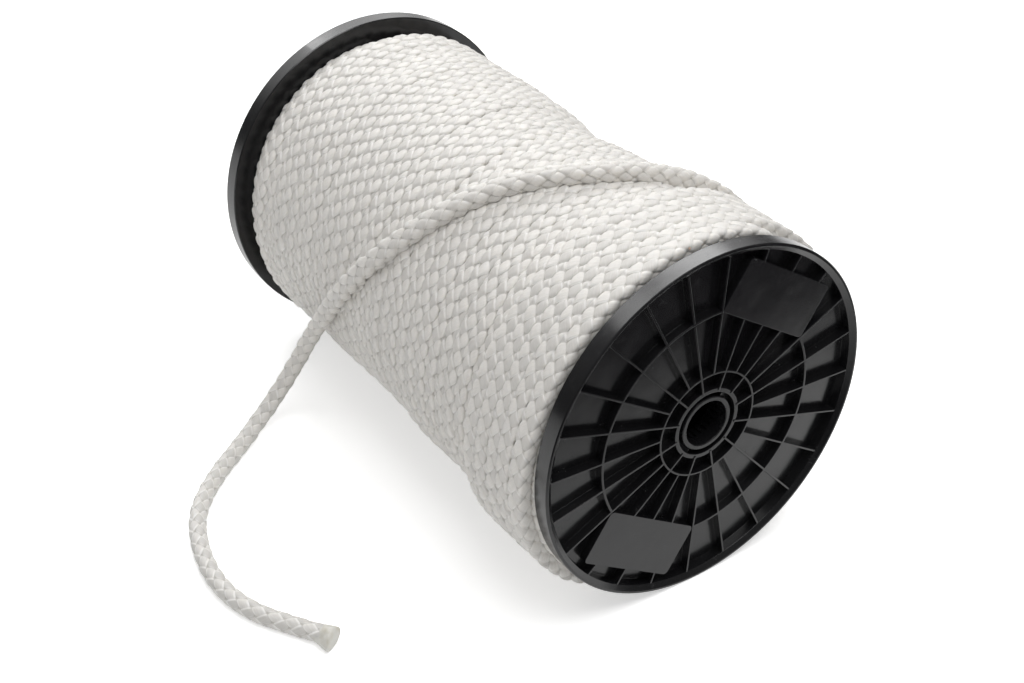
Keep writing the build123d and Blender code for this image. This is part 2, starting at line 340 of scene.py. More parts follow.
# Wavelengths in metres, height and seed of the rope's unevenness round the pack.
# The twist is in quarter turns.
PACK_RISE = ((0.093, 0.211, 0.47), 0.35 * MM, 3)
PACK_DRIFT = ((0.071, 0.163, 0.39), 0.3 * MM, 5)
PACK_TWIST = ((0.31, 0.83, 2.1), 0.12, 8)
PACK_FACE = 0.25                # which side of the braid faces out, in quarter turns


def uneven(x, kind):
    """A wander of this kind, which is its wavelengths, height and seed."""
    waves, height, seed = kind
    return height * wander(x, waves, seed)


def wound_layer():
    """The outer layer: even turns from the rear flange to the front one."""
    end_y = PACK_HALF - ROPE_R + TURN_OVERLAP
    turns = 2 * end_y / TURN_PITCH + 1
    length = 2 * math.pi * (PACK_R - ROPE_R)
    count = int(turns * length / PACK_STEP)
    t = np.linspace(0, turns, count)
    angle = 2 * math.pi * t
    y = np.clip(end_y - TURN_PITCH * (t - 0.5), -end_y, end_y)
    along = t * length
    radius = PACK_R - ROPE_R + uneven(along, PACK_RISE)
    radius -= EDGE_DROP * smooth(y, end_y - EDGE_FROM, end_y + EDGE_TO)
    y = y + uneven(along, PACK_DRIFT)
    twist = PACK_FACE + uneven(along, PACK_TWIST)
    centres = on_reel(angle, radius, y)
    outward = outward_at(angle)
    v = t * STITCHES_PER_TURN
    cuts = np.linspace(0, count - 1, WOUND_PIECES + 1).astype(int)
    pieces = []
    for n in range(WOUND_PIECES):
        part = slice(cuts[n], cuts[n + 1] + 1)
        pieces.append(braided_rope(
            f"rope_turns_{n + 1}", centres[part], outward[part], v[part], twist[part],
            WOUND_ANGLES, np.ones(len(v[part])), shape=settle,
        ))
    return pieces


# ----------------------------------------------------------------- inner layers
RIB_CROWN = 2.2 * MM            # how far a covered turn's top stands out
RIB_POINTS = 6
RIB_SIDE = 1.6 * MM             # how far a row's end does, beside a flange
ROW_PITCH = 1.83                # one layer to the next, in rope radii
BARREL_GAP = 0.3 * MM
COVERED_AROUND = 96             # points round the reel
COVERED_STITCHES = 0.6          # braid coordinates from one corner to the next


def end_face(tops, side, sign):
    """The rounded ends of the rows of turns beside one flange, in the order of tops."""
    arch = np.linspace(0, math.pi, RIB_POINTS + 1)
    arch = arch[:-1] if sign > 0 else arch[::-1][:-1]
    wall = INNER_PACK_HALF - RIB_SIDE
    return [
        (top - side / 2 + math.cos(a) * side / 2, sign * (wall + RIB_SIDE * math.sin(a)))
        for top in tops for a in arch
    ]


def ribbed_outline():
    """Section of the covered layers, as (radius, y), with a rib for every turn."""
    half = INNER_PACK_HALF
    ribs = int(round(2 * half / TURN_PITCH))
    rows = int(round((INNER_PACK_R - BARREL_R) / (ROPE_R * ROW_PITCH)))
    valley = INNER_PACK_R - RIB_CROWN
    outline = []
    for n in range(ribs):
        middle = -half + (n + 0.5) * 2 * half / ribs
        for a in np.linspace(0, math.pi, RIB_POINTS + 1)[:-1]:
            outline.append((valley + RIB_CROWN * math.sin(a), middle - math.cos(a) * half / ribs))
    inner_r = BARREL_R + BARREL_GAP
    side = (valley - inner_r) / rows
    tops = [valley - n * side for n in range(rows)]
    outline += end_face(tops, side, 1)
    outline.append((inner_r, half - RIB_SIDE))
    outline.append((inner_r, -half + RIB_SIDE))
    return outline + end_face(tops[::-1], side, -1)


def covered_layers():
    """Layers under the outer one, as one ribbed body."""
    r, y = np.array(ribbed_outline()).T
    around, count = COVERED_AROUND, len(y)
    turns = np.linspace(0, 2 * math.pi, around, endpoint=False)
    verts = on_reel(turns[:, None], r[None, :], np.broadcast_to(y, (around, count)))
    i = np.arange(around)[:, None]
    j = np.arange(count)[None, :]
    this, following = i * count, ((i + 1) % around) * count
    next_j = (j + 1) % count
    quads = np.stack([this + j, following + j, following + next_j, this + next_j], -1)
    along = np.stack([i, i + 1, i + 1, i], -1) * np.ones((1, count, 1)) * COVERED_STITCHES
    across = np.stack([j, j, j + 1, j + 1], -1) * np.ones((around, 1, 1)) / RIB_POINTS
    uvs = np.stack([along, across], -1).reshape(-1, 2)
    return new_piece("rope_covered_layers", verts.reshape(-1, 3), quads.reshape(-1, 4), uvs=uvs)


# ---------------------------------------------------------- centre line of the free rope
RAISED_TURNS = 5
RAISED_RISE = 2.8 * MM          # raised turns nest this far above the outer layer
RAISED_POINTS = 60              # per turn
SETTLE_TURNS = 0.25             # the last of the turns goes over to the strand's height
CLIMB = 9 * MM                  # the first one comes up out of the layer below
CLIMB_TURNS = 0.09
CUT_OFF = 4                     # percent of a CAD tube's ends that its line leaves out
LONG_POINTS = 26                # points of the lines over the pack and on the floor
HANGING_POINTS = 7              # and of the line between them
LINE_STEP = 3 * MM
LINE_ROUNDS = 6                 # rounds of smoothing for the whole line
TAIL_ROUNDS = 10                # more for the tail
BEND_ROUNDS = 80                # and for its bend at the floor
BEND_POINTS = 16                # up to this many points on each side
EARLY_SHIFT = 17 * MM           # the strand starts across early, on the far side
EARLY_BEFORE = 0.22             # over this length before the raised turns' end
EARLY_AFTER = 0.10              # and this one after it
STRAND_SINK = 1.4 * MM          # it beds into the turns under it
SINK_LENGTH = 0.06              # and takes this length to do so
FREE_DRIFT = ((0.083, 0.19, 0.41), 0.35 * MM, 12)      # like PACK_DRIFT
LOOSE_LENGTH = 30 * MM          # the rope is round again this far off the pack
FLOOR_FROM = 45 * MM            # it comes to the floor between these lengths past
FLOOR_TO = 110 * MM             # the middle of its hanging part


def tube_centres(name, key, count):
    """Centre line of a swept CAD rope, ordered by key, from its own vertices."""
    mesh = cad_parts[name].data
    co = np.array([v.co for v in mesh.vertices])
    normal = np.array([v.normal for v in mesh.vertices])
    middle = co - normal * CAD_ROPE_R
    order = key(middle)
    low, high = np.percentile(order, (CUT_OFF, 100 - CUT_OFF))
    edges = np.linspace(low, high, count + 1)
    line = []
    for n in range(count):
        inside = (order >= edges[n]) & (order <= edges[n + 1])
        if inside.any():
            line.append(np.median(middle[inside], axis=0))
    return np.array(line)


def cad_lines():
    """Lines of the strand over the pack, the hanging part, and the part on the floor."""
    crossing = tube_centres("rope_crossing_strand", lambda p: p[:, 1], LONG_POINTS)
    hanging = tube_centres("rope_hanging_tail", lambda p: -p[:, 2], HANGING_POINTS)
    lying = tube_centres("rope_floor_tail", lambda p: -p[:, 1], LONG_POINTS)
    low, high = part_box("rope_sealed_end")
    knob = np.array((low + high) / 2)
    return crossing, hanging, np.concatenate([lying, [knob]])


def raised_spiral(end):
    """Line of the raised turns, from the layer below them to the strand's start."""
    end_angle = math.atan2(-end[0], end[2])
    end_r = math.hypot(end[0], end[2])
    first_y = RAISED_START_Y + ROPE_R
    t = np.linspace(0, RAISED_TURNS, RAISED_POINTS * RAISED_TURNS, endpoint=False)
    angle = end_angle + 2 * math.pi * (t - RAISED_TURNS)
    y = first_y + (end[1] - first_y) * t / RAISED_TURNS
    raised_r = PACK_R + RAISED_RISE
    radius = raised_r + (end_r - raised_r) * smooth(t, RAISED_TURNS - SETTLE_TURNS, RAISED_TURNS)
    radius -= CLIMB * (1 - smooth(t, 0, CLIMB_TURNS))
    return on_reel(angle, radius, y)


def rounded_line():
    """One even line for the whole free rope, and the lengths where its stretches end.

    Those are the end of the raised turns, the place where the strand leaves the pack,
    and the middle of the hanging part.
    """
    crossing, hanging, lying = cad_lines()
    raised = raised_spiral(crossing[0])
    line = np.concatenate([raised, crossing, hanging, lying])
    line = relax(resample(line, LINE_STEP), LINE_ROUNDS)
    tail = nearest(line, hanging[0])
    line[tail:] = relax(line[tail:], TAIL_ROUNDS)
    touch = nearest(line, lying[0])
    bend = slice(touch - BEND_POINTS, touch + BEND_POINTS)
    line[bend] = relax(line[bend], BEND_ROUNDS)
    line = resample(line, FREE_STEP)
    ends = (raised[-1], crossing[-1], hanging[len(hanging) // 2])
    return line, [arc_length(line)[nearest(line, end)] for end in ends]


def lay(line, s, raised_end, loose, split):
    """Lays the line against the raised turns, into the pack, and down on the floor."""
    early = smooth(s, raised_end - EARLY_BEFORE, raised_end)
    early *= 1 - smooth(s, raised_end, raised_end + EARLY_AFTER)
    line[:, 1] += EARLY_SHIFT * early
    sink = smooth(s, raised_end, raised_end + SINK_LENGTH) * (1 - loose)
    line[:, ::2] *= (1 - STRAND_SINK * sink / PACK_R)[:, None]
    line[:, 1] += uneven(s, FREE_DRIFT) * (1 - loose)
    on_floor = smooth(s, split + FLOOR_FROM, split + FLOOR_TO)
    line[:, 2] += (FLOOR_Z + ROPE_R - line[:, 2]) * on_floor
    return line


# ----------------------------------------------------------------- the free rope
FREE_FACE = 0.75                # which side of the braid faces out, in quarter turns
FREE_TWIST = ((0.43, 0.97, 2.3), 0.1, 15)              # like PACK_TWIST
STRAND_PRESSED = 0.25           # how far the strand over the pack is pressed
PRESSED_FADE = 60 * MM          # it gets rounder over this length past the turns
UNPRESSED_BEFORE = 10 * MM      # and again from this far before it leaves the pack
TIGHT_FADE = 50 * MM            # the raised turns' relief grows over their last bit
RAISED_OVERLAP = 5 * MM         # the raised pieces end this far into the strand


def free_rope():
    """The raised turns, the strand across the pack, and the hanging and lying tail."""
    line, (raised_end, leave, split) = rounded_line()
    s = arc_length(line)
    loose = smooth(s, leave, leave + LOOSE_LENGTH)
    line = lay(line, s, raised_end, loose, split)
    tangent = unit(np.gradient(line, axis=0))
    outward = outward_at(np.arctan2(-line[:, 0], line[:, 2]))
    off_pack = int(np.searchsorted(s, leave))
    outward[off_pack:] = transported(tangent[off_pack:], outward[off_pack].copy())
    twist = FREE_FACE + uneven(s, FREE_TWIST)
    pressed = 1 - (1 - STRAND_PRESSED) * smooth(s, raised_end, raised_end + PRESSED_FADE)
    pressed *= 1 - smooth(s, leave - UNPRESSED_BEFORE, leave + LOOSE_LENGTH)
    depth = 1 - (1 - FREE_DEPTH) * loose
    depth *= RAISED_DEPTH + (1 - RAISED_DEPTH) * smooth(s, raised_end - TIGHT_FADE, raised_end)
    last_raised = int(np.searchsorted(s, raised_end + RAISED_OVERLAP))
    cuts = (0, last_raised // 2, last_raised, int(np.searchsorted(s, split)), len(s))
    pieces = {}
    for n, name in enumerate(("rope_raised_1", "rope_raised_2", "rope_across", "rope_tail")):
        raised = n < 2
        part = slice(cuts[n], cuts[n + 1] + 1)
        pieces[name] = braided_rope(
            name, line[part], outward[part], s[part] / STITCH, twist[part],
            RAISED_ANGLES if raised else ROUND_ANGLES, pressed[part],
            depth[part], shape=settle if raised else None,
        )
    return pieces, line, tangent


# ------------------------------------------------------------------ the melted end
KNOB_LENGTH = 12 * MM
KNOB_RINGS = 15
KNOB_AROUND = 28
KNOB_START = 0.97               # radius where it leaves the braid, in rope radii
KNOB_GROW = 0.36                # it widens by this share
KNOB_GROW_SPAN = (0.1, 0.85)    # along this stretch of its length
KNOB_CLOSE = 0.14               # and its rim is rounded off by this one
KNOB_CLOSE_SPAN = (0.92, 1.0)
KNOB_LUMPS = ((0.05, 3, 5), (0.035, 5, -9))     # height, number round it, twist
KNOB_FLARE = 0.42               # one side flares further
KNOB_FLARE_AT = -0.5            # towards this angle
KNOB_FLAT = 0.86                # height over width
KNOB_DOME = 0.5 * MM            # how far the cut face bulges
KNOB_CLEAR = 0.2 * MM           # it lies this far above the floor


def knob_ring(t):
    """Width and height of the knob's ring at t, from 0 at the braid to 1 at the cut."""
    angle = np.linspace(0, 2 * math.pi, KNOB_AROUND, endpoint=False)
    grow = 1 + KNOB_GROW * smooth(np.array(t), *KNOB_GROW_SPAN)
    close = 1 - KNOB_CLOSE * smooth(np.array(t), *KNOB_CLOSE_SPAN)
    lump = 1
    for height, number, twist in KNOB_LUMPS:
        lump = lump + height * np.sin(number * angle + twist * t)
    flare = 1 + KNOB_FLARE * t * t * np.clip(np.cos(angle - KNOB_FLARE_AT), 0, 1) ** 2
    radius = ROPE_R * KNOB_START * grow * close * lump
    return radius * flare * np.cos(angle), KNOB_FLAT * radius * np.sin(angle)


def melted_end(line, tangent):
    """The cut end of the rope, melted into a blunt, lopsided knob."""
    along = unit(tangent[-1] * (1, 1, 0))
    side = np.cross(along, (0, 0, 1))
    start = line[-1] - along * KNOB_LENGTH / 2
    verts = []
    for n in range(KNOB_RINGS):
        t = n / (KNOB_RINGS - 1)
        across, up = knob_ring(t)
        at = start + along * KNOB_LENGTH * t
        verts.append(at + across[:, None] * side + up[:, None] * np.array((0, 0, 1.0)))
    verts = np.concatenate(verts)
    verts[:, 2] = np.maximum(verts[:, 2], FLOOR_Z + KNOB_CLEAR)
    verts = np.concatenate([verts, [start, start + along * (KNOB_LENGTH + KNOB_DOME)]])
    j = np.arange(KNOB_AROUND)
    k = (j + 1) % KNOB_AROUND
    last_ring = (KNOB_RINGS - 1) * KNOB_AROUND
    middle = KNOB_RINGS * KNOB_AROUND
    tris = np.concatenate([
        np.stack([np.full(KNOB_AROUND, middle), k, j], 1),
        np.stack([np.full(KNOB_AROUND, middle + 1), last_ring + j, last_ring + k], 1),
    ])
    knob = new_piece("rope_melted_end", verts, tube_faces(KNOB_RINGS, KNOB_AROUND), tris)
    rounding = knob.modifiers.new("round", "SUBSURF")
    rounding.levels = rounding.render_levels = 2
    return knob


# ------------------------------------------------------------------ the inner end
TUCK_BEND = 6 * MM              # radius of its bend inside the wall
TUCK_POINTS = 9


def inner_tuck():
    """The rope's inner end: through the barrel wall and along its inside."""
    low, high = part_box("rope_inner_end")
    lane = low.x + CAD_ROPE_R
    hole_y = high.y - CAD_ROPE_R
    points = [(high.x, hole_y, 0)]
    for n in range(TUCK_POINTS):
        a = math.pi / 2 * n / (TUCK_POINTS - 1)
        x = lane + TUCK_BEND - TUCK_BEND * math.sin(a)
        points.append((x, hole_y - TUCK_BEND * (1 - math.cos(a)), 0))
    points.append((lane, low.y, 0))
    line = resample(np.array(points), FREE_STEP)
    tangent = unit(np.gradient(line, axis=0))
    outward = transported(tangent, np.array((0, 0, 1.0)))
    zeros = np.zeros(len(line))
    v = arc_length(line) / STITCH
    return braided_rope("rope_tucked_end", line, outward, v, zeros, ROUND_ANGLES, zeros)


# ---------------------------------------------------------------- material helpers
def plug(tree, value, socket):
    """Links value to the socket if it's a socket too, and otherwise sets it."""
    if isinstance(value, bpy.types.NodeSocket):
        tree.links.new(value, socket)
    else:
        socket.default_value = value


def node(tree, kind, inputs=None, **settings):
    """Adds a shader node. inputs are values or sockets, by input name or number."""
    made = tree.nodes.new(kind)
    for key, value in settings.items():
        setattr(made, key, value)
    for key, value in (inputs or {}).items():
        plug(tree, value, made.inputs[key])
    return made


def calc(tree, operation, *values, clamp=False):
    """One step of arithmetic on sockets and numbers."""
    inputs = dict(enumerate(values))
    return node(tree, "ShaderNodeMath", inputs, operation=operation, use_clamp=clamp).outputs[0]


def ramp(tree, value, low, high, bottom=0.0, top=1.0):
    """bottom up to low, top from high, smooth between."""
    inputs = {"Value": value, "From Min": low, "From Max": high, "To Min": bottom, "To Max": top}
    made = node(tree, "ShaderNodeMapRange", inputs, interpolation_type="SMOOTHSTEP")
    return made.outputs["Result"]


def mix_colour(tree, factor, a, b, blend="MIX"):
    """Colours a and b mixed, with b's share as the factor."""
    made = node(tree, "ShaderNodeMix", data_type="RGBA", blend_type=blend)
    for key, value in ((0, factor), (6, a), (7, b)):
        plug(tree, value, made.inputs[key])
    return made.outputs[2]


def mix_shader(tree, factor, a, b):
    return node(tree, "ShaderNodeMixShader", {0: factor, 1: a, 2: b}).outputs[0]


def noise(tree, vector, scale, detail=2.0, rough=0.5):
    inputs = {"Vector": vector, "Scale": scale, "Detail": detail, "Roughness": rough}
    return node(tree, "ShaderNodeTexNoise", inputs).outputs[0]


def bump(tree, height, distance, strength=1.0, normal=None):
    inputs = {"Height": height, "Distance": distance, "Strength": strength}
    if normal is not None:
        inputs["Normal"] = normal
    return node(tree, "ShaderNodeBump", inputs).outputs[0]


def object_place(tree):
    return node(tree, "ShaderNodeTexCoord").outputs["Object"]


def light_path(tree, name):
    return node(tree, "ShaderNodeLightPath").outputs[name]


def split_xyz(tree, vector):
    return node(tree, "ShaderNodeSeparateXYZ", {"Vector": vector}).outputs


def new_material(name):
    """An empty material with its output wired to a Principled shader."""
    made = bpy.data.materials.new(name)
    made.use_nodes = True
    tree = made.node_tree
    tree.nodes.clear()
    shader = node(tree, "ShaderNodeBsdfPrincipled")
    node(tree, "ShaderNodeOutputMaterial", {"Surface": shader.outputs[0]})
    return made, tree, shader


def wire(tree, shader, **inputs):
    """Sets or links inputs of a shader; an underscore stands for a space in a name."""
    for key, value in inputs.items():
        plug(tree, value, shader.inputs[key.replace("_", " ")])


# ------------------------------------------------------------------ rope material
ROPE_LIGHT = (0.86, 0.835, 0.795, 1)
# painted shade in the pits between strands
ROPE_PIT_SHADE = (0.66, 0.635, 0.59, 1)
# painted highlight along the strands' edges
ROPE_EDGE_HIGHLIGHT = (0.95, 0.935, 0.905, 1)
FREE_SHADED_BASE = (0.815, 0.795, 0.76, 1)    # painted shade: the free end's base is darker between its painted edge highlights
FREE_X = (-0.150, -0.102)       # it's all like that up to here, and not at all from here
FREE_EDGE = 0.14                # how much wider the painted edge highlights are there
EDGE_ACROSS = (0.60, 0.88)      # places across a strand where the painted highlights start and are full
EDGE_ABOVE = (0.3, 0.7)         # and heights over the pits' floor where they do, in mm
PIT_FADE = 0.35                 # the pits' painted shade is gone this far over it, in mm
SHADED_FAMILY = 0.13            # painted shade: one strand family is coloured darker, for fibres that catch less light
FIBRES = (26.0, 1.1, 3.7)       # noise scale across and along a strand, and by strand
YARNS = 3                       # yarns across a strand
FIBRE_BUMP = 0.17               # in mm
YARN_BUMP = 0.02
GRAIN_DARK = 0.90               # brightness between the fibres
CLOUD_SCALE = 22.0
CLOUD_DARK = 0.965              # and where the rope is a little grey


def strand_nodes(tree, across, along, sign):
    """strand_height in nodes, without the unevenness, and the place across the strand."""
    middle = calc(tree, "ROUND", across)
    off = calc(tree, "SUBTRACT", across, middle)
    side = calc(tree, "DIVIDE", calc(tree, "ABSOLUTE", off), STRAND_HALF, clamp=True)
    fall_off = calc(tree, "SUBTRACT", 1.0, calc(tree, "POWER", side, STRAND_SQUARE))
    crown = calc(tree, "POWER", fall_off, 1 / STRAND_SQUARE)
    turn = calc(tree, "MULTIPLY", calc(tree, "SUBTRACT", along, middle), math.pi)
    wave = calc(tree, "COSINE", turn)
    flatter = calc(tree, "MULTIPLY_ADD", calc(tree, "MULTIPLY", wave, wave), -0.5, 1.5)
    lift = calc(tree, "MULTIPLY", calc(tree, "MULTIPLY", wave, flatter), sign * STRAND_LIFT / MM)
    slant = LEFT_SLANT if sign > 0 else RIGHT_SLANT
    lift = calc(tree, "MULTIPLY_ADD", off, -slant / MM, lift)
    height = calc(tree, "MULTIPLY_ADD", crown, STRAND_CROWN / MM, lift)
    return height, off, side


def strand_on_top(tree):
    """What the rope's surface shows: its height in mm, places on its strand, its family."""
    uv = split_xyz(tree, node(tree, "ShaderNodeUVMap", uv_map="braid").outputs[0])
    left = calc(tree, "SUBTRACT", uv[0], uv[1])
    right = calc(tree, "ADD", uv[0], uv[1])
    left_height, left_off, left_side = strand_nodes(tree, left, right, 1)
    right_height, right_off, right_side = strand_nodes(tree, right, left, -1)
    is_left = calc(tree, "GREATER_THAN", left_height, right_height)

    def pick(a, b):
        picked = node(tree, "ShaderNodeMix", {"Factor": is_left}, data_type="FLOAT")
        plug(tree, b, picked.inputs[2])
        plug(tree, a, picked.inputs[3])
        return picked.outputs[0]

    return {
        "height": calc(tree, "MAXIMUM", left_height, right_height),
        "off": pick(left_off, right_off), "side": pick(left_side, right_side),
        "along": pick(right, left), "is_left": is_left,
        "number": pick(calc(tree, "ROUND", left), calc(tree, "ROUND", right)),
    }


def rope_colour(tree, top, fibres):
    """Painted highlights on the strand edges, painted warm shade in the pits between strands, and
    painted shade on one strand family and on the free end's base. The grey cloud and the fibre
    grain are the rope's own tone.
    """
    place = object_place(tree)
    height, pit = top["height"], PIT_FLOOR / MM
    # free marks the free end, whose base gets painted shade and whose painted edge highlights are
    # wider
    free = ramp(tree, split_xyz(tree, place)[0], *FREE_X, 1.0, 0.0)
    side = calc(tree, "MULTIPLY_ADD", free, FREE_EDGE, top["side"])
    above = ramp(tree, height, pit + EDGE_ABOVE[0], pit + EDGE_ABOVE[1])
    # edge: painted highlight along the strands' edges
    edge = calc(tree, "MULTIPLY", ramp(tree, side, *EDGE_ACROSS), above)
    # deep: painted shade in the pits between strands
    deep = ramp(tree, height, pit, pit + PIT_FADE, 1.0, 0.0)
    base = mix_colour(tree, edge, mix_colour(tree, free, ROPE_LIGHT, FREE_SHADED_BASE), ROPE_EDGE_HIGHLIGHT)
    base = mix_colour(tree, deep, base, ROPE_PIT_SHADE)
    # painted shade on one strand family, left off its painted edge highlights
    is_right = calc(tree, "SUBTRACT", 1.0, top["is_left"])
    inner = calc(tree, "MULTIPLY", is_right, calc(tree, "SUBTRACT", 1.0, edge))
    tint = calc(tree, "MULTIPLY_ADD", inner, -SHADED_FAMILY, 1.0)
    cloud = ramp(tree, noise(tree, place, CLOUD_SCALE, 3.0), 0.3, 0.7, CLOUD_DARK, 1.0)
    grain = ramp(tree, fibres, 0.25, 0.75, GRAIN_DARK, 1.0)
    tint = calc(tree, "MULTIPLY", calc(tree, "MULTIPLY", cloud, grain), tint)
    shade = node(tree, "ShaderNodeCombineColor", {0: tint, 1: tint, 2: tint}).outputs[0]
    return mix_colour(tree, 1.0, base, shade, "MULTIPLY")


def rope_material():
    """White polypropylene braid of glossy yarns, with the fibres along every strand."""
    made, tree, shader = new_material("white_braid")
    top = strand_on_top(tree)
    across, along, strand = FIBRES
    fibre_place = node(tree, "ShaderNodeCombineXYZ", {
        "X": calc(tree, "MULTIPLY", top["off"], across),
        "Y": calc(tree, "MULTIPLY", top["along"], along),
        "Z": calc(tree, "MULTIPLY", top["number"], strand),
    }).outputs[0]
    fibres = noise(tree, fibre_place, 1.0, 3.0, 0.6)
    yarn = calc(tree, "COSINE", calc(tree, "MULTIPLY", top["off"], YARNS * 2 * math.pi))
    yarns = calc(tree, "MULTIPLY", yarn, YARN_BUMP)
    relief = calc(tree, "MULTIPLY_ADD", fibres, FIBRE_BUMP, yarns)
    wire(
        tree, shader, Base_Color=rope_colour(tree, top, fibres),
        Normal=bump(tree, relief, MM, 0.8), Roughness=ramp(tree, fibres, 0.2, 0.8, 0.38, 0.55),
        Specular_IOR_Level=0.45, Sheen_Weight=0.12, Sheen_Roughness=0.4,
        Subsurface_Weight=0.25, Subsurface_Radius=(1.0, 0.95, 0.85),
        Subsurface_Scale=1.6 * MM,
    )
    return made


# --------------------------------------------------------------- other materials
MELT_COLOUR = (0.72, 0.71, 0.665, 1)
MELT_STAIN = (0.62, 0.595, 0.52, 1)
MELT_SCALES = (320.0, 170.0)    # noise scales of its lumps and its stains
PLASTIC = (0.007, 0.007, 0.0078, 1)
PLASTIC_WORN = (0.017, 0.017, 0.018, 1)
PLASTIC_SCALES = (1500.0, 38.0, 210.0)      # of its grain, its slow waves and its scuffs
WAVE_HEIGHT = 0.9 * MM
WAVE_ROUGH = 0.07               # how much rougher the waves' crests are
WORN_ROUGH = 0.10               # and the scuffs
TABLE = (0.93, 0.93, 0.925, 1)
TABLE_LIFT = 0.50               # keeps it white around soft shadows
TABLE_GLOSS = 0.40              # and bright in the plastic's reflections near the reel
TABLE_MIRRORED = (0.05, 0.05, 0.055, 1)     # it's this dim in those from further in front
TABLE_NEAR_Y = (-0.36, -0.22)   # all dim up to here, and all bright from here
# Name, roughness, grain height and edge radius of each plastic, and its parts
PLASTICS = (
    ("black_plastic", 0.16, 0.02 * MM, 0.35 * MM, ("front_flange", "rear_flange")),
    ("bush_plastic", 0.22, 0.02 * MM, 0.25 * MM, ("front_hub_bush", "rear_hub_bush")),
    ("barrel_plastic", 0.42, 0.03 * MM, 0.3 * MM, ("core_barrel",)),
)


def melt_material():
    """Melted polypropylene: translucent, slightly yellow, lumpy and half glossy."""
    made, tree, shader = new_material("melted_rope")
    place = object_place(tree)
    lump_scale, stain_scale = MELT_SCALES
    lumps = noise(tree, place, lump_scale, 3.0)
    stains = ramp(tree, noise(tree, place, stain_scale, 2.0), 0.45, 0.75)
    wire(
        tree, shader, Base_Color=mix_colour(tree, stains, MELT_COLOUR, MELT_STAIN),
        Normal=bump(tree, lumps, 0.8 * MM, 0.6), Roughness=ramp(tree, lumps, 0.3, 0.7, 0.28, 0.5),
        Subsurface_Weight=0.4, Subsurface_Radius=(1.0, 0.97, 0.9), Subsurface_Scale=2.5 * MM,
    )
    return made


def plastic_material(name, roughness, grain, edge):
    """Black moulded polypropylene: fine grain, slow waviness and rounded edges."""
    made, tree, shader = new_material(name)
    place = object_place(tree)
    grain_scale, wave_scale, scuff_scale = PLASTIC_SCALES
    fine = noise(tree, place, grain_scale, 2.0)
    waves = noise(tree, place, wave_scale, 2.0)
    scuffs = noise(tree, place, scuff_scale, 4.0, 0.65)
    rounded = node(tree, "ShaderNodeBevel", {"Radius": edge}, samples=4).outputs[0]
    wavy = bump(tree, waves, WAVE_HEIGHT, 0.35, rounded)
    worn = ramp(tree, scuffs, 0.55, 0.8)
    rough = ramp(tree, waves, 0.3, 0.7, roughness, roughness + WAVE_ROUGH)
    wire(
        tree, shader, Base_Color=mix_colour(tree, worn, PLASTIC, PLASTIC_WORN),
        Normal=bump(tree, fine, grain, 0.5, wavy),
        Roughness=calc(tree, "MULTIPLY_ADD", worn, WORN_ROUGH, rough), Specular_IOR_Level=0.5,
    )
    return made


def table_material():
    """Pale table, lifted to white. In the plastic's reflections its front is dim."""
    made, tree, shader = new_material("pale_table")
    wire(tree, shader, Base_Color=TABLE, Roughness=0.9, Specular_IOR_Level=0.0)
    near = ramp(tree, split_xyz(tree, object_place(tree))[1], *TABLE_NEAR_Y)
    mirrored = light_path(tree, "Is Glossy Ray")
    lift = calc(tree, "MULTIPLY", light_path(tree, "Is Camera Ray"), TABLE_LIFT)
    glow = calc(tree, "MULTIPLY_ADD", mirrored, TABLE_GLOSS, lift)
    lifted = node(tree, "ShaderNodeEmission", {"Strength": glow}).outputs[0]
    seen = node(tree, "ShaderNodeAddShader", {0: shader.outputs[0], 1: lifted}).outputs[0]
    dim = node(tree, "ShaderNodeEmission", {"Color": TABLE_MIRRORED}).outputs[0]
    factor = calc(tree, "MULTIPLY", mirrored, calc(tree, "SUBTRACT", 1.0, near))
    output = [n for n in tree.nodes if n.type == "OUTPUT_MATERIAL"][0]
    tree.links.new(mix_shader(tree, factor, seen, dim), output.inputs[0])
    return made


# ------------------------------------------------------------------------- studio
TABLE_SIZE = 8
SKY = 0.35                      # ambient light, against a white of 1
HORIZON = 0.12                  # it's dimmer in reflections of the room low down
SKY_RISE = (0.05, 0.7)          # heights of a direction where that ends and the sky starts
WALL_GLOW = 1.8                 # bright wall behind the reel, seen only in reflections
WALL_GLOW_AT = (0.22, 0.85, 0.48)
WALL_GLOW_EDGE = (0.70, 0.98)   # cosines of the angle from there at its edge and its middle
WHITE = (1, 1, 1, 1)
CAMERA_AT = (-0.44949, -0.64583, 0.49522)
CAMERA_AZIMUTH = math.radians(-34.53)
CAMERA_ELEVATION = math.radians(34.36)
CAMERA_LENS = 57.76
# Name, direction, distance, size and watts of each softbox
KEY = ("key", (-0.03, -0.36, 0.93), 1.7, (1.1, 0.9), 14.6)
WINDOW = ("window", (0.28, 0.62, 0.70), 1.7, (1.4, 0.6), 13)
RIM = ("rim", (-0.257, 0.543, 0.80), 1.75, (0.5, 0.6), 2.8)     # seen only in the shine


def aim(ob, back):
    """Links a light or camera, turned so that it looks away from this direction."""
    ob.rotation_mode = "QUATERNION"
    ob.rotation_quaternion = back.to_track_quat("Z", "Y")
    bpy.context.scene.collection.objects.link(ob)


def softbox(name, direction, distance, size, watts):
    """A large area light that faces the reel from this direction."""
    data = bpy.data.lights.new(name, "AREA")
    data.shape = "RECTANGLE"
    data.size, data.size_y = size
    data.energy = watts
    lamp = bpy.data.objects.new(name, data)
    towards = Vector(direction).normalized()
    lamp.location = towards * distance
    aim(lamp, towards)
    return lamp


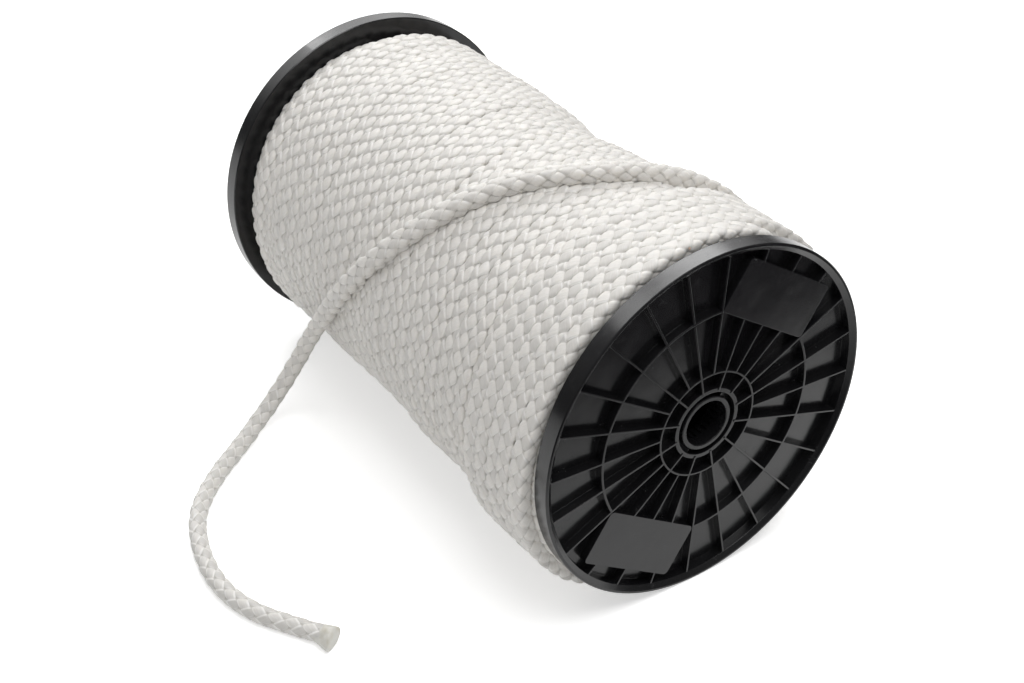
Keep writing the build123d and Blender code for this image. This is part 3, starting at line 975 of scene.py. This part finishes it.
def sky():
    """White to the camera, even light on surfaces, and a bright wall in reflections."""
    world = bpy.data.worlds.new("studio")
    world.use_nodes = True
    tree = world.node_tree
    tree.nodes.clear()
    direction = node(tree, "ShaderNodeTexCoord").outputs["Generated"]
    height = ramp(tree, split_xyz(tree, direction)[2], *SKY_RISE, HORIZON, SKY)
    inputs = {0: direction, 1: WALL_GLOW_AT}
    facing = node(tree, "ShaderNodeVectorMath", inputs, operation="DOT_PRODUCT").outputs["Value"]
    height = calc(tree, "ADD", height, ramp(tree, facing, *WALL_GLOW_EDGE, 0.0, WALL_GLOW))
    seen, lit, mirrored = [
        node(tree, "ShaderNodeBackground", {"Color": WHITE, "Strength": strength}).outputs[0]
        for strength in (1.0, SKY, height)
    ]
    light = mix_shader(tree, light_path(tree, "Is Glossy Ray"), lit, mirrored)
    chosen = mix_shader(tree, light_path(tree, "Is Camera Ray"), light, seen)
    node(tree, "ShaderNodeOutputWorld", {"Surface": chosen})
    bpy.context.scene.world = world


def studio():
    bpy.ops.mesh.primitive_grid_add(x_subdivisions=8, y_subdivisions=8, size=TABLE_SIZE)
    table = bpy.context.object
    table.name = "table"
    table.location.z = FLOOR_Z
    table.data.materials.append(table_material())
    softbox(*KEY)
    softbox(*WINDOW)
    softbox(*RIM).visible_diffuse = False
    sky()


def camera():
    data = bpy.data.cameras.new("camera")
    data.sensor_width = 36
    data.lens = CAMERA_LENS
    data.clip_start = 0.01
    made = bpy.data.objects.new("camera", data)
    made.location = CAMERA_AT
    flat = math.cos(CAMERA_ELEVATION)
    aim(made, Vector((
        math.sin(CAMERA_AZIMUTH) * flat, -math.cos(CAMERA_AZIMUTH) * flat,
        math.sin(CAMERA_ELEVATION),
    )))
    bpy.context.scene.camera = made


# ----------------------------------------------------------------------- assembly
# The free rope's pieces that cross a joint, and how far they bend on each side of it
BENDS = (
    ("rope_across", "tail_lift", (6 * MM, 34 * MM)),
    ("rope_tail", "tail_sway", (14 * MM, 14 * MM)),
)


def dress(piece, material, slot, body, *nodes):
    """Gives a new piece its material and body, and hides the CAD nodes it replaces. slot is not
    used.
    """
    piece.data.materials.clear()
    piece.data.materials.append(material)
    if body:
        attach(piece, body)
    if nodes:
        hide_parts(*nodes)


def bend_at_joints(free):
    """Bakes the transforms of the free rope's pieces that cross a joint into their meshes."""
    for name, joint, (before, after) in BENDS:
        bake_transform(free[name])


def build_rope():
    braid = rope_material()
    wound = wound_layer()
    dress(wound[0], braid, "rope", "reel", "rope_outer_layer")
    for piece in wound[1:]:
        dress(piece, braid, "rope", "reel")
    dress(covered_layers(), braid, "rope", "reel", "rope_inner_layers")
    dress(inner_tuck(), braid, "rope", "reel", "rope_inner_end")
    free, line, tangent = free_rope()
    dress(free["rope_raised_1"], braid, "rope", "reel", "rope_raised_turns")
    dress(free["rope_raised_2"], braid, "rope", "reel")
    over_edge = ("rope_crossing_strand", "rope_hanging_tail")
    dress(free["rope_across"], braid, "rope", None, *over_edge)
    dress(free["rope_tail"], braid, "rope", None, "rope_floor_tail")
    bend_at_joints(free)
    knob = melted_end(line, tangent)
    dress(knob, melt_material(), "melted_rope", "floor_tail", "rope_sealed_end")


def dress_plastic():
    for name, roughness, grain, edge, parts in PLASTICS:
        material = plastic_material(name, roughness, grain, edge)
        for part in parts:
            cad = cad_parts[part]
            cad.data.materials.clear()
            cad.data.materials.append(material)


build_rope()
dress_plastic()
studio()
camera()
bpy.context.scene.view_settings.view_transform = "Standard"
bpy.context.view_layer.update()
